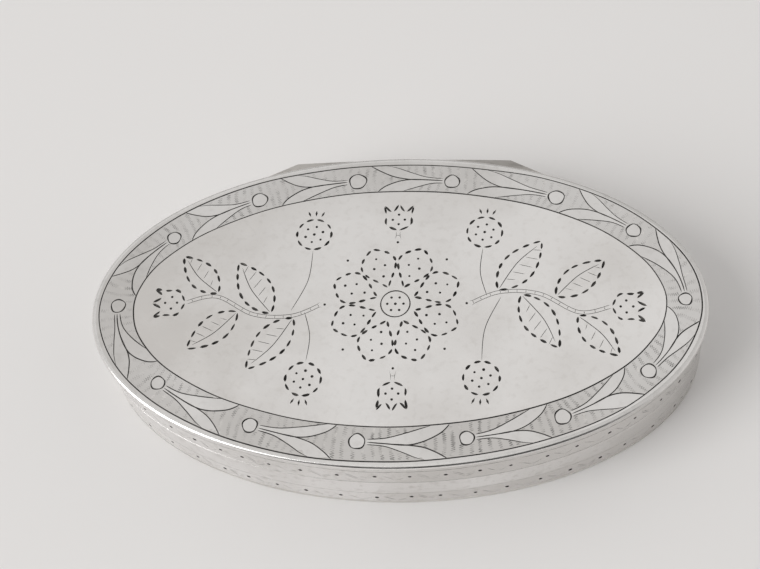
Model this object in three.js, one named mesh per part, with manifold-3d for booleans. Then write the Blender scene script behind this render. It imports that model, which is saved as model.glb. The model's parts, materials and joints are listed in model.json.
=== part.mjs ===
// Oval silver snuff box with a hinged lid, in millimetres, +Z up.
// The origin is on the table under the middle of the oval. X runs along the box, and the hinge is at the +Y side.
import * as THREE from "three";
import { mergeVertices } from "three/addons/utils/BufferGeometryUtils.js";
import Module from "manifold-3d";

// Box: an oval wall on a flat base, and a lid whose skirt stands on that wall
const BOX_LENGTH = 79.3; // end to end over the wall
const BOX_WIDTH = 44.5; // front to back over the wall
const BODY_HEIGHT = 6.9; // table to parting line
const LID_HEIGHT = 5.6; // parting line to the top of the lid's rim
const LID_CROWN = 0.4; // rise of the lid's middle over its rim
const WALL_SHEET = 0.7;
const BASE_SHEET = 0.7;
const LID_SHEET = 0.8;
const BASE_EDGE_ROUND = 0.35; // rounding under the base's edge
const RIM_OVERHANG = 0.39; // how far the rim wire stands out over the wall
const RIM_SEAT = 0.18; // how far the rim wire stands in on the skirt's edge, which it shares with the lid plate
const PARTING_GAP = 0.06; // hair line between the lid and the body
const SOLDER_GAP = 0.05; // film of solder between soldered pieces

// Bezel: the strip inside the wall that rises into the lid and keeps it shut
const BEZEL_SHEET = 0.5;
const BEZEL_RISE = 1.8; // above the parting line
const BEZEL_SEAT = 3.0; // below the parting line, against the wall
const BEZEL_CLEARANCE = 0.15; // between the bezel and the walls round it

// Hinge: knuckles on a straight line behind the oval, let into two bearers that fill the curve
const HINGE_LENGTH = 29.5; // over the knuckles
const KNUCKLE_COUNT = 9; // odd ones belong to the body, even ones to the lid
const KNUCKLE_RADIUS = 0.8;
const KNUCKLE_GAP = 0.1; // between neighbours
const GROOVE_CLEARANCE = 0.08; // round the knuckles, in the bearers
const BEARER_WEB = 0.7; // metal between the wall and the groove
const BEARER_FLOOR = 0.35; // metal under the groove, in the body's bearer
const BEARER_CAP = 0.92; // metal over the groove, at the ends of the lid bearer's back
const BEARER_BOW = 0.55; // how much higher that back stands in its middle
const BEARER_FEATHER = 0.06; // thickness of a bearer's filed ends
const BEARER_TAPER = 9.5; // how far each bearer end runs past the knuckles
const PIN_RADIUS = 0.38;
const PIN_CLEARANCE = 0.05;
const PIN_PROUD = 0.4; // how far the pin shows at each end
const LID_OPENS_DEG = 108;
const STOP_MARGIN_DEG = 2; // the bearers' toes meet this far past the range

// Smoothness of the curves
const OVAL_STEPS = 80;
const TUBE_STEPS = 24;
const ROUND_STEPS = 6;
const CROWN_STEPS = 4;
const BEARER_STEPS = 7;

const HALF_LENGTH = BOX_LENGTH / 2;
const HALF_WIDTH = BOX_WIDTH / 2;
const RIM_TOP = BODY_HEIGHT + LID_HEIGHT;
const SKIRT_TOP = RIM_TOP - LID_SHEET;
const GROOVE_RADIUS = KNUCKLE_RADIUS + GROOVE_CLEARANCE;
const HINGE_Y = HALF_WIDTH + SOLDER_GAP + BEARER_WEB + GROOVE_RADIUS;
const TOE_ANGLE = THREE.MathUtils.degToRad((LID_OPENS_DEG + STOP_MARGIN_DEG) / 2);
const BEARER_BACK = HINGE_Y + GROOVE_RADIUS * Math.cos(TOE_ANGLE);

const wasm = await Module();
wasm.setup();

const engravedSilver = new THREE.MeshStandardMaterial({ color: 0xd8d5d1, roughness: 0.38, metalness: 1 });
const polishedSilver = new THREE.MeshStandardMaterial({ color: 0xe4e2df, roughness: 0.2, metalness: 1 });
const innerSilver = new THREE.MeshStandardMaterial({ color: 0xcfccc6, roughness: 0.45, metalness: 1 });
const hingeSilver = new THREE.MeshStandardMaterial({ color: 0xbfbcb7, roughness: 0.4, metalness: 1 });
const pinWire = new THREE.MeshStandardMaterial({ color: 0x9c9994, roughness: 0.45, metalness: 1 });

function piece(name, geometry, material) {
  const mesh = new THREE.Mesh(geometry, material);
  mesh.name = name;
  return mesh;
}

// Point of the wall's oval at a drawing angle, moved out along the oval's normal
function ovalPoint(angle, offset) {
  const normal = new THREE.Vector2(Math.cos(angle) / HALF_LENGTH, Math.sin(angle) / HALF_WIDTH).normalize();
  const onWall = new THREE.Vector2(HALF_LENGTH * Math.cos(angle), HALF_WIDTH * Math.sin(angle));
  return onWall.addScaledVector(normal, offset);
}

// A profile corner at an offset from the wall's outer face, drawn in towards the middle by a share
function corner(offset, z, share = 1) {
  return { offset, z, share };
}

// Carries a profile once round the oval. It closes on itself, or starts and ends on the axis.
function ovalLathe(profile) {
  const outline = profile.map((p) => new THREE.Vector2(p.share * (HALF_WIDTH + p.offset), p.z));
  const geometry = new THREE.LatheGeometry(outline, OVAL_STEPS);
  const position = geometry.getAttribute("position");
  for (let i = 0; i < position.count; i++) {
    const column = Math.floor(i / profile.length) % OVAL_STEPS;
    const p = profile[i % profile.length];
    const at = ovalPoint((2 * Math.PI * column) / OVAL_STEPS, p.offset).multiplyScalar(p.share);
    position.setXYZ(i, at.x, at.y, p.z);
  }
  return geometry;
}

function ovalBand(innerOffset, outerOffset, bottom, top) {
  const start = corner(innerOffset, bottom);
  return ovalLathe([start, corner(outerOffset, bottom), corner(outerOffset, top), corner(innerOffset, top), start]);
}

// Corners of a round stretch of a profile, from one angle to another
function roundCorners(centreOffset, centreZ, radius, fromDeg, toDeg) {
  return Array.from({ length: ROUND_STEPS + 1 }, (_, i) => {
    const a = THREE.MathUtils.degToRad(fromDeg + ((toDeg - fromDeg) * i) / ROUND_STEPS);
    return corner(centreOffset + radius * Math.cos(a), centreZ + radius * Math.sin(a));
  });
}

function solid(geometry) {
  const bare = geometry.clone();
  bare.deleteAttribute("normal");
  bare.deleteAttribute("uv");
  const merged = mergeVertices(bare, 1e-4);
  const vertProperties = new Float32Array(merged.getAttribute("position").array);
  const triVerts = new Uint32Array(merged.index.array);
  return new wasm.Manifold(new wasm.Mesh({ numProp: 3, vertProperties, triVerts }));
}

function surface(made) {
  const mesh = made.getMesh();
  const geometry = new THREE.BufferGeometry();
  geometry.setAttribute("position", new THREE.BufferAttribute(mesh.vertProperties, 3));
  geometry.setIndex(new THREE.BufferAttribute(mesh.triVerts, 1));
  return geometry;
}

// Base: flat oval sheet with a rounded lower edge
function basePlate() {
  const edge = roundCorners(-BASE_EDGE_ROUND, BASE_EDGE_ROUND, BASE_EDGE_ROUND, -90, 0);
  const profile = [corner(0, 0, 0), ...edge, corner(0, BASE_SHEET), corner(0, BASE_SHEET, 0)];
  return ovalLathe(profile);
}

// Lid: sheet with a low crown, its edge beside the rim wire on the skirt
function lidPlate() {
  const edge = -RIM_SEAT - SOLDER_GAP;
  const crowned = Array.from({ length: CROWN_STEPS + 1 }, (_, i) => {
    const share = i / CROWN_STEPS;
    return { share, rise: LID_CROWN * (1 - share * share) };
  });
  const under = crowned.map((c) => corner(edge, SKIRT_TOP + c.rise, c.share));
  const over = crowned.map((c) => corner(edge, RIM_TOP + c.rise, c.share)).reverse();
  return ovalLathe([...under, ...over]);
}

// Rim wire: D section, round outside, as tall as the lid's sheet
function rimWire() {
  const radius = LID_SHEET / 2;
  const start = corner(-RIM_SEAT, SKIRT_TOP);
  const nose = roundCorners(RIM_OVERHANG - radius, SKIRT_TOP + radius, radius, -90, 90);
  return ovalLathe([start, ...nose, corner(-RIM_SEAT, RIM_TOP), start]);
}

function bezel() {
  const outer = -WALL_SHEET - BEZEL_CLEARANCE;
  return ovalBand(outer - BEZEL_SHEET, outer, BODY_HEIGHT - BEZEL_SEAT, BODY_HEIGHT + BEZEL_RISE);
}

// A round bar or tube along the hinge line, its length centred on x
function alongHinge(geometry, x) {
  return geometry.rotateZ(-Math.PI / 2).translate(x, HINGE_Y, BODY_HEIGHT);
}

function knuckle(index) {
  const length = (HINGE_LENGTH - KNUCKLE_GAP * (KNUCKLE_COUNT - 1)) / KNUCKLE_COUNT;
  const middle = -HINGE_LENGTH / 2 + length / 2 + index * (length + KNUCKLE_GAP);
  const bore = PIN_RADIUS + PIN_CLEARANCE;
  const start = new THREE.Vector2(bore, -length / 2);
  const section = [
    start,
    new THREE.Vector2(KNUCKLE_RADIUS, -length / 2),
    new THREE.Vector2(KNUCKLE_RADIUS, length / 2),
    new THREE.Vector2(bore, length / 2),
    start,
  ];
  return alongHinge(new THREE.LatheGeometry(section, TUBE_STEPS), middle);
}

function hingePin() {
  const length = HINGE_LENGTH + 2 * PIN_PROUD;
  return alongHinge(new THREE.CylinderGeometry(PIN_RADIUS, PIN_RADIUS, length, TUBE_STEPS), 0);
}

// Bearer: fills the curve between the oval and the straight hinge, and is grooved for the knuckles.
// Its lower and upper faces each run from a height at the wall, the root, to a height at the back, which may bow up.
function bearer(lower, upper) {
  const half = HINGE_LENGTH / 2;
  const reach = half + BEARER_TAPER;
  const tip = ovalPoint(Math.acos(reach / HALF_LENGTH), SOLDER_GAP + BEARER_FEATHER);
  const block = new THREE.BoxGeometry(4, 1, 1, 4 * BEARER_STEPS, 1, 1);
  const position = block.getAttribute("position");
  for (let i = 0; i < position.count; i++) {
    const along = position.getX(i); // within 1 on the hinge, and up to 2 on a tapered end
    const onHinge = THREE.MathUtils.clamp(along, -1, 1);
    const past = Math.abs(along - onHinge);
    const face = position.getZ(i) > 0 ? upper : lower;
    if (position.getY(i) < 0) {
      const x = onHinge * (half + past * BEARER_TAPER);
      const inner = ovalPoint(Math.acos(x / HALF_LENGTH), SOLDER_GAP);
      position.setXYZ(i, inner.x, inner.y, face.root);
    } else {
      const x = onHinge * THREE.MathUtils.lerp(half, tip.x, past);
      const bow = face.bow * (1 - onHinge * onHinge);
      const y = THREE.MathUtils.lerp(BEARER_BACK, tip.y, past);
      position.setXYZ(i, x, y, THREE.MathUtils.lerp(face.back, face.root, past) + bow);
    }
  }
  const cutter = new THREE.CylinderGeometry(GROOVE_RADIUS, GROOVE_RADIUS, BOX_LENGTH, TUBE_STEPS);
  return surface(solid(block).subtract(solid(alongHinge(cutter, 0))));
}

function level(z) {
  return { root: z, back: z, bow: 0 };
}

function bodyBearer() {
  return bearer(level(BODY_HEIGHT - GROOVE_RADIUS - BEARER_FLOOR), level(BODY_HEIGHT - PARTING_GAP / 2));
}

// The lid's bearer slopes up from the hinge to the underside of the rim
function lidBearer() {
  const cap = BODY_HEIGHT + GROOVE_RADIUS + BEARER_CAP;
  const slope = { root: SKIRT_TOP - SOLDER_GAP, back: cap, bow: BEARER_BOW };
  return bearer(level(BODY_HEIGHT + PARTING_GAP / 2), slope);
}

const box = new THREE.Group();
box.name = "snuff_box";

const body = new THREE.Group();
body.name = "body";
body.add(piece("base_plate", basePlate(), innerSilver));
body.add(piece("body_wall", ovalBand(-WALL_SHEET, 0, BASE_SHEET, BODY_HEIGHT - PARTING_GAP / 2), engravedSilver));
body.add(piece("inner_bezel", bezel(), innerSilver));
body.add(piece("body_hinge_bearer", bodyBearer(), hingeSilver));
body.add(piece("hinge_pin", hingePin(), pinWire));

const lid = new THREE.Group();
lid.name = "lid";
lid.add(piece("lid_skirt", ovalBand(-WALL_SHEET, 0, BODY_HEIGHT + PARTING_GAP / 2, SKIRT_TOP), engravedSilver));
lid.add(piece("lid_rim_wire", rimWire(), polishedSilver));
lid.add(piece("lid_plate", lidPlate(), engravedSilver));
lid.add(piece("lid_hinge_bearer", lidBearer(), hingeSilver));

for (let i = 0; i < KNUCKLE_COUNT; i++) {
  const carrier = i % 2 === 0 ? body : lid;
  carrier.add(piece(`hinge_knuckle_${i + 1}`, knuckle(i), hingeSilver));
}

box.add(body, lid);

export default box;
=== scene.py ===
import bisect
import json
import math
import random

import bmesh
import bpy
from mathutils import Matrix, Vector
from mathutils.geometry import delaunay_2d_cdt


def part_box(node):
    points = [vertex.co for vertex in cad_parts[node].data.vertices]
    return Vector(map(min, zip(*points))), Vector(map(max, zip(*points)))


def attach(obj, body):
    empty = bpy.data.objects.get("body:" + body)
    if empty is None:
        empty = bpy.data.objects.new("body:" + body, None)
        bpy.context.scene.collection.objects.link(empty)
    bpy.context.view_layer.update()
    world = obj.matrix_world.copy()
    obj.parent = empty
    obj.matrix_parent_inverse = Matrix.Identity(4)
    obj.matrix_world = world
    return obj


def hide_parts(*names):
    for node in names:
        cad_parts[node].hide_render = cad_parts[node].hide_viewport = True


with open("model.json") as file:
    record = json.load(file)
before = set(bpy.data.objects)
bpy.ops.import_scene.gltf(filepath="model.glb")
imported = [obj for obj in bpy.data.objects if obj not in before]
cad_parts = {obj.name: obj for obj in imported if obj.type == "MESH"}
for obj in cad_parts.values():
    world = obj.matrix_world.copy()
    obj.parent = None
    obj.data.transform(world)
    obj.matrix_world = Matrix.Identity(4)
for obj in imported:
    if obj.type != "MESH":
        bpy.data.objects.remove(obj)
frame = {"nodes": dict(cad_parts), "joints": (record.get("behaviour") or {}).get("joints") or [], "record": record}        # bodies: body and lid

scene = bpy.context.scene
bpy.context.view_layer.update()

# Base plate: a flat oval of rolled silver that closes the body underneath. It is soldered to the lower
# edge of the wall, and years of sliding on tables have rounded its rim and scratched it.
MM = 0.001
OVAL_STEPS = 288
base_low, base_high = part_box("base_plate")
half_length, half_width = base_high.x, base_high.y
BASE_ROUNDING = 0.2 * MM
BASE_METAL = ((0.80, 0.785, 0.76), (0.62, 0.595, 0.56), 0.36)  # colour, stain and roughness
TABLE_MARKS = [((9, 0.07, 9), 20), ((7, 0.06, 7), 75), ((12, 0.09, 12), -40)]  # scratches: mm, degrees


def oval_point(angle, out=0.0):
    """Point of the wall's oval at a drawing angle, moved out along the oval's own normal."""
    normal = Vector((math.cos(angle) / half_length, math.sin(angle) / half_width)).normalized()
    return Vector((half_length * math.cos(angle), half_width * math.sin(angle))) + out * normal


def turns(count):
    """Drawing angles evenly once round."""
    return [2 * math.pi * i / count for i in range(count)]


def start_oval(name, out, z, filled=False):
    """A ring of vertices on the oval, as the only selected object."""
    fill = "NGON" if filled else "NOTHING"
    bpy.ops.mesh.primitive_circle_add(vertices=OVAL_STEPS, radius=half_width, fill_type=fill)
    piece = bpy.context.active_object
    piece.name = piece.data.name = name
    for vertex, angle in zip(piece.data.vertices, turns(OVAL_STEPS)):
        vertex.co = (*oval_point(angle, out), z)
    return piece


def draw_up(height, flat_at=None):
    """Raises the whole of the active outline into a wall or a sheet, which may end flat at a level."""
    TOUCHING = 0.002 * MM
    bpy.ops.object.mode_set(mode="EDIT")
    bpy.ops.mesh.select_all(action="SELECT")
    bpy.ops.mesh.extrude_region_move(TRANSFORM_OT_translate={"value": (0, 0, height)})
    if flat_at is not None:
        bpy.ops.transform.resize(value=(1, 1, 0), center_override=(0, 0, flat_at))
    bpy.ops.mesh.select_all(action="SELECT")
    bpy.ops.mesh.remove_doubles(threshold=TOUCHING)
    bpy.ops.mesh.normals_make_consistent(inside=False)
    bpy.ops.object.mode_set(mode="OBJECT")


def round_edges(piece, picks, width, segments):
    """Rounds the level edges whose two ends are picked."""
    bpy.context.tool_settings.mesh_select_mode = (False, True, False)
    bpy.ops.object.mode_set(mode="EDIT")
    bpy.ops.mesh.select_all(action="DESELECT")
    bpy.ops.object.mode_set(mode="OBJECT")
    for edge in piece.data.edges:
        a, b = (piece.data.vertices[v].co for v in edge.vertices)
        edge.select = picks(a) and picks(b)
    bpy.ops.object.mode_set(mode="EDIT")
    bpy.ops.mesh.bevel(offset=width, segments=segments, profile=0.5, affect="EDGES")
    bpy.ops.object.mode_set(mode="OBJECT")


def take_up(piece):
    """Makes a piece the only selected one, and the active one."""
    bpy.ops.object.select_all(action="DESELECT")
    piece.select_set(True)
    bpy.context.view_layer.objects.active = piece


def smooth(piece, degrees=30):
    """Shades a piece smooth, apart from edges sharper than the angle."""
    take_up(piece)
    bpy.ops.object.shade_smooth_by_angle(angle=math.radians(degrees))


def new_material(name):
    """A material with its node tree and its shader."""
    material = bpy.data.materials.new(name)
    material.use_nodes = True
    return material, material.node_tree, material.node_tree.nodes["Principled BSDF"]


def spread(tree, value, low, high, to_low, to_high):
    """A value carried from one span to another, and held inside it."""
    part = tree.nodes.new("ShaderNodeMapRange")
    for socket, number in zip(part.inputs[1:5], (low, high, to_low, to_high)):
        socket.default_value = number
    tree.links.new(value, part.inputs[0])
    return part.outputs[0]


def join(tree, operation, a, b):
    """Two values brought together. Either may be a plain number."""
    part = tree.nodes.new("ShaderNodeMath")
    part.operation = operation
    for socket, value in zip(part.inputs, (a, b)):
        if isinstance(value, float):
            socket.default_value = value
        else:
            tree.links.new(value, socket)
    return part.outputs[0]


def silver(name, colour, stain_and_shade_colour, roughness, marks, uneven=1.0, stain_amount=0.55, tarnish_and_shade=(), speckle=0.35):
    """Old silver: cloudy tarnish, wipe marks of the given sizes, and the unevenness of hand-worked sheet.
    Each further darkening, tarnishing or painted shade, has its amount, and the axes along which it deepens
    from clean to dark."""
    CLOUDS, SPECKS, DULL_PATCHES, HAMMERING, GRAIN = 13, 0.9, 6, 9, 0.22  # sizes in mm
    WIPE_SPAN = (0.58, 0.74)
    material, tree, shader = new_material(name)
    link = tree.links.new
    shader.inputs["Metallic"].default_value = 1.0
    place = tree.nodes.new("ShaderNodeTexCoord")

    def noise(sizes, detail, turn=0.0):
        mapping = tree.nodes.new("ShaderNodeMapping")
        mapping.vector_type = "TEXTURE"
        mapping.inputs["Scale"].default_value = [size * MM for size in sizes]
        mapping.inputs["Rotation"].default_value = (0, 0, turn)
        link(place.outputs["Object"], mapping.inputs["Vector"])
        texture = tree.nodes.new("ShaderNodeTexNoise")
        texture.inputs["Scale"].default_value = 1.0
        texture.inputs["Detail"].default_value = detail
        link(mapping.outputs["Vector"], texture.inputs["Vector"])
        return texture.outputs["Fac"]

    def bump(height, distance, strength, below=None):
        part = tree.nodes.new("ShaderNodeBump")
        part.inputs["Distance"].default_value = distance * MM
        part.inputs["Strength"].default_value = strength
        link(height, part.inputs["Height"])
        if below:
            link(below, part.inputs["Normal"])
        return part.outputs["Normal"]

    cloud = spread(tree, noise([CLOUDS] * 3, 5), 0.42, 0.68, 0.0, stain_amount)
    speck = spread(tree, noise([SPECKS] * 3, 3), 0.52, 0.76, 0.0, speckle)
    stain_and_shade = join(tree, "ADD", cloud, speck)
    axes = tree.nodes.new("ShaderNodeSeparateXYZ")
    link(place.outputs["Object"], axes.inputs[0])
    for amount, *ways in tarnish_and_shade:
        deeper = [spread(tree, axes.outputs[axis], clean * MM, dark * MM, 0.0, 1.0)
                  for axis, clean, dark in ways]
        both = deeper[0] if len(deeper) == 1 else join(tree, "MULTIPLY", *deeper)
        stain_and_shade = join(tree, "ADD", stain_and_shade, spread(tree, both, 0.0, 1.0, 0.0, amount))
    tint = tree.nodes.new("ShaderNodeMix")
    tint.data_type = "RGBA"
    tint.inputs[6].default_value = (*colour, 1)
    tint.inputs[7].default_value = (*stain_and_shade_colour, 1)
    link(stain_and_shade, tint.inputs[0])
    link(tint.outputs[2], shader.inputs["Base Color"])

    wipes = [spread(tree, noise(sizes, 2, math.radians(turn)), *WIPE_SPAN, 0.0, 1.0) for sizes, turn in marks]
    scratched = wipes[0]
    for wipe in wipes[1:]:
        scratched = join(tree, "ADD", scratched, wipe)
    dull = spread(tree, noise([DULL_PATCHES] * 3, 4), 0.3, 0.7, roughness - 0.05, roughness + 0.06)
    rough = join(tree, "ADD", dull, spread(tree, scratched, 0.0, 1.0, 0.0, 0.05))
    link(rough, shader.inputs["Roughness"])

    hammered = bump(noise([HAMMERING] * 3, 2), 0.05 * uneven, 1.0)
    grained = bump(noise([GRAIN] * 3, 2), 0.004, 0.6, hammered)
    link(bump(scratched, -0.004, 0.7, grained), shader.inputs["Normal"])
    return material


base = start_oval("worn_base", 0.0, base_low.z, filled=True)
draw_up(base_high.z - base_low.z)
round_edges(base, lambda p: p.z < base_low.z + 0.01 * MM, BASE_ROUNDING, 6)
smooth(base)
base.data.materials.append(silver("base_silver", *BASE_METAL, TABLE_MARKS))
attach(base, "body")
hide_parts("base_plate")

# Body wall: a strip of silver bent to the oval and closed behind the hinge. The engraver ran one line and
# a band of pricked dots under a wavy stroke round its foot. The cuts are real ones, filled with dark oxide.
wall_low, wall_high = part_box("body_wall")
WALL_SHEET = 0.7 * MM
EDGE_ROUNDING = 0.025 * MM
CUT_SLOPE = 0.8  # depth of a graver's cut over half its width
WALL_METAL = ((0.885, 0.872, 0.863), (0.69, 0.67, 0.65), 0.2)
WALL_SPECKLE = 0.8
WALL_MARKS = [((14, 14, 0.05), 0), ((9, 9, 0.09), 0)]
# Tarnish on the engraved foot band, and painted shade at the right-hand end, the side away from the lamp
WALL_TARNISH_AND_SHADE = [(0.75, ("X", -5, 8), ("Z", 3.9, 3.1)), (0.9, ("X", 16, 34))]
OXIDE = (0.03, 0.028, 0.026)
FAINT_OXIDE = (0.22, 0.213, 0.205)
WALL_SPACING = 0.75  # mm between the corners of the plain face
SEAM_ROOM = 0.4  # mm kept free of strokes beside the seam behind the hinge
hand = random.Random(5)


def oval_walk(out, first_angle, samples=6000):
    """Length in mm once round the oval at an offset, and the drawing angle at a distance along it."""
    angles = [first_angle + 2 * math.pi * i / samples for i in range(samples + 1)]
    lengths = [0.0]
    for a, b in zip(angles, angles[1:]):
        lengths.append(lengths[-1] + (oval_point(b, out) - oval_point(a, out)).length / MM)

    def angle_at(run):
        run = run % lengths[-1] if not 0 <= run <= lengths[-1] else run
        i = min(max(bisect.bisect(lengths, run) - 1, 0), samples - 1)
        share = (run - lengths[i]) / (lengths[i + 1] - lengths[i])
        return angles[i] + share * (angles[i + 1] - angles[i])

    return lengths[-1], angle_at


def eased(a, b, c, d, t):
    """A value on the way from b to c, on a smooth curve that comes from a and goes on to d."""
    square = 2 * a - 5 * b + 4 * c - d
    cube = 3 * b - a - 3 * c + d
    return 0.5 * (2 * b + (c - a) * t + square * t * t + cube * t ** 3)


def smooth_line(points, step):
    """Points a step apart along a smooth line through the given points."""
    ends = [points[0], *points, points[-1]]
    line = []
    for p0, p1, p2, p3 in zip(ends, ends[1:], ends[2:], ends[3:]):
        pieces = max(2, int(math.dist(p1, p2) / step))
        for i in range(pieces):
            line.append(tuple(eased(*values, i / pieces) for values in zip(p0, p1, p2, p3)))
    return [*line, tuple(points[-1])]


# Tones of the cuts: black ones, shallow grey ones, and the ground, leaves and wriggles of the lid's border
DARK, FAINT, GROUND, LEAF, WRIGGLE = 1, 2, 3, 4, 5


def line_cut(points, width, start=0.3, end=0.3, tone=DARK):
    """An open cut, as wide as given in its middle and fading to nothing at its ends."""
    last = len(points) - 1
    halves = []
    for i in range(len(points)):
        t = i / last
        fade = min(1.0, t / start if start else 1.0, (1 - t) / end if end else 1.0)
        halves.append(0.5 * width * math.sin(0.5 * math.pi * fade) ** 0.7)
    return points, halves, False, tone


def ring_cut(points, width, waver=0.12):
    """A cut that closes on itself, its width wavering as the graver turns."""
    turn = hand.uniform(0, 6.28)
    count = len(points)
    halves = [0.5 * width * (1 + waver * math.sin(turn + 6.28 * 3 * i / count)) for i in range(count)]
    return points, halves, True, DARK


def dot_cut(x, y, width):
    """A pricked dot."""
    return [(x, y)], [width / 2], False, DARK


def around(x, y, radius, count, first=0.0):
    """Points evenly round a circle."""
    return [(x + radius * math.cos(a + first), y + radius * math.sin(a + first)) for a in turns(count)]


def side_points(points, halves, closed):
    """The two edges of a cut, square to its run and mitred at its bends."""
    count = len(points)
    left, right = [], []
    for i, ((x, y), half) in enumerate(zip(points, halves)):
        before = points[i - 1] if closed or i else points[i]
        after = points[(i + 1) % count] if closed or i < count - 1 else points[i]
        a = Vector((x - before[0], y - before[1]))
        b = Vector((after[0] - x, after[1] - y))
        a, b = (a or b).normalized(), (b or a).normalized()
        run = (a + b).normalized() if (a + b).length > 0.2 else a
        reach = half / max(0.6, run.dot(a))
        left.append((x - run.y * reach, y + run.x * reach))
        right.append((x + run.y * reach, y - run.x * reach))
    return left, right


def cut_drawing(outline, cuts, spacing, flat_tone=lambda x, y: 0):
    """A flat drawing in mm with its cuts: its points, their depths, its triangles and their tones."""
    CELL = 0.6
    CUT_ROOM = 0.12
    cells = {}
    for points, halves, closed, tone in cuts:
        runs = list(zip(points, points[1:], halves, halves[1:]))
        if closed or not runs:
            runs.append((points[-1], points[0], halves[-1], halves[0]))
        for a, b, wa, wb in runs:
            room = max(wa, wb)
            over_x, over_y = (range(int((min(p, q) - room) // CELL), int((max(p, q) + room) // CELL) + 1)
                              for p, q in zip(a, b))
            for i in over_x:
                for j in over_y:
                    cells.setdefault((i, j), []).append((a, b, wa, wb, tone))

    def deepest_at(x, y, room=0.0):
        deepest, tone_there = 0.0, 0
        for a, b, wa, wb, tone in cells.get((int(x // CELL), int(y // CELL)), ()):
            dx, dy = b[0] - a[0], b[1] - a[1]
            length = dx * dx + dy * dy
            t = min(1.0, max(0.0, ((x - a[0]) * dx + (y - a[1]) * dy) / length)) if length else 0.0
            inward = wa + t * (wb - wa) + room - math.hypot(x - a[0] - t * dx, y - a[1] - t * dy)
            if inward > deepest:
                deepest, tone_there = inward, tone
        return deepest * CUT_SLOPE, tone_there

    corners, edges = [], []

    def chain(points, closed):
        first = len(corners)
        corners.extend(points)
        edges.extend((i, i + 1) for i in range(first, len(corners) - 1))
        if closed:
            edges.append((len(corners) - 1, first))

    chain(outline, True)
    for points, halves, closed, _ in cuts:
        if len(points) == 1:
            chain(around(*points[0], halves[0], 8), True)
            corners.append(points[0])
        else:
            chain(points, closed)
            for side in side_points(points, halves, closed):
                chain(side if closed else [points[0], *side[1:-1], points[-1]], closed)
    low_x, low_y = (min(values) for values in zip(*outline))
    high_x, high_y = (max(values) for values in zip(*outline))
    inside = [Vector(p) for p in outline]
    edge_room = 0.4 * spacing
    rows = int((high_y - low_y) / (spacing * 0.866))
    for row in range(1, rows):
        y = low_y + (high_y - low_y) * row / rows
        for column in range(1, int((high_x - low_x) / spacing)):
            x = low_x + (column + 0.5 * (row % 2)) * spacing
            clear = x < high_x - edge_room and deepest_at(x, y, CUT_ROOM)[0] <= 0.0
            if clear and within(x, y, inside, edge_room):
                corners.append((x, y))
    flat = [Vector(p) for p in corners]
    made, _, triangles, *_ = delaunay_2d_cdt(flat, edges, [], 0, 1e-5, False)
    tones = []
    for a, b, c in triangles:
        middle = (made[a] + made[b] + made[c]) / 3
        depth, tone = deepest_at(*middle)
        tones.append(tone if depth > 0.001 else flat_tone(*middle))
    return made, [deepest_at(*p)[0] for p in made], triangles, tones


def within(x, y, outline, room):
    """Whether a point lies inside a convex outline that runs counter-clockwise, clear of its edge."""
    for a, b in zip(outline, [*outline[1:], outline[0]]):
        run = b - a
        if run.x * (y - a.y) - run.y * (x - a.x) < room * run.length:
            return False
    return True


def new_piece(name, corners, faces):
    """A piece made from its corners and faces."""
    mesh = bpy.data.meshes.new(name)
    mesh.from_pydata(corners, [], faces)
    piece = bpy.data.objects.new(name, mesh)
    scene.collection.objects.link(piece)
    return piece


def engraved_piece(name, drawing, to_space, rings, metals):
    """The engraved face laid into its place, closed by the rings of corners that run round its back."""
    SAME_PLACE = 0.0004 * MM
    flat_points, depths, triangles, tones = drawing
    corners = [to_space(p.x, p.y, d) for p, d in zip(flat_points, depths)]
    faces = [list(t) for t in triangles]
    for ring in rings:
        corners.extend(ring)
    start = len(flat_points)
    for ring, after in zip(rings, rings[1:]):
        count = len(ring)
        for i in range(count):
            j = (i + 1) % count
            if len(after) == 1:
                faces.append([start + i, start + j, start + count])
            else:
                faces.append([start + i, start + j, start + count + j, start + count + i])
        start += count
    piece = new_piece(name, corners, faces)
    mesh = piece.data
    for metal in metals:
        mesh.materials.append(metal)
    for face, tone in zip(mesh.polygons, tones):
        face.material_index = tone
    merged = bmesh.new()
    merged.from_mesh(mesh)
    bmesh.ops.remove_doubles(merged, verts=merged.verts, dist=SAME_PLACE)
    bmesh.ops.dissolve_degenerate(merged, edges=merged.edges, dist=SAME_PLACE / 2)
    bmesh.ops.recalc_face_normals(merged, faces=merged.faces)
    merged.to_mesh(mesh)
    merged.free()
    smooth(piece, 22)
    return piece


def oxide(name, colour):
    """Dark oxide and old polish left in the bottom of the cuts, patchy and dull."""
    PATCHES_PER_METRE = 900.0
    material, tree, shader = new_material(name)
    shader.inputs["Metallic"].default_value = 0.5
    shader.inputs["Roughness"].default_value = 0.6
    place = tree.nodes.new("ShaderNodeTexCoord")
    patches = tree.nodes.new("ShaderNodeTexNoise")
    patches.inputs["Scale"].default_value = PATCHES_PER_METRE
    patches.inputs["Detail"].default_value = 3.0
    tree.links.new(place.outputs["Object"], patches.inputs["Vector"])
    tone = tree.nodes.new("ShaderNodeValToRGB")
    for stop, position, strength in zip(tone.color_ramp.elements, (0.35, 0.72), (0.6, 3.2)):
        stop.position = position
        stop.color = (*[c * strength for c in colour], 1)
    tree.links.new(patches.outputs["Fac"], tone.inputs["Fac"])
    tree.links.new(tone.outputs["Color"], shader.inputs["Base Color"])
    return material


wall_round, wall_angle = oval_walk(0.0, math.pi / 2)


def on_wall(run, z, depth):
    """A place on the outside of the wall: run in mm from the middle of the back, z and depth in mm."""
    x, y = oval_point(wall_angle(run), -depth * MM)
    return x, y, z * MM


def wall_outline(low, high):
    """The strip laid flat, with the same corners at its two ends."""
    columns = [wall_round * i / OVAL_STEPS for i in range(OVAL_STEPS + 1)]
    rises = [low + (high - low) * i / 6 for i in range(1, 6)]
    return ([(x, low) for x in columns] + [(wall_round, z) for z in rises]
            + [(x, high) for x in reversed(columns)] + [(0.0, z) for z in reversed(rises)])


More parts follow.
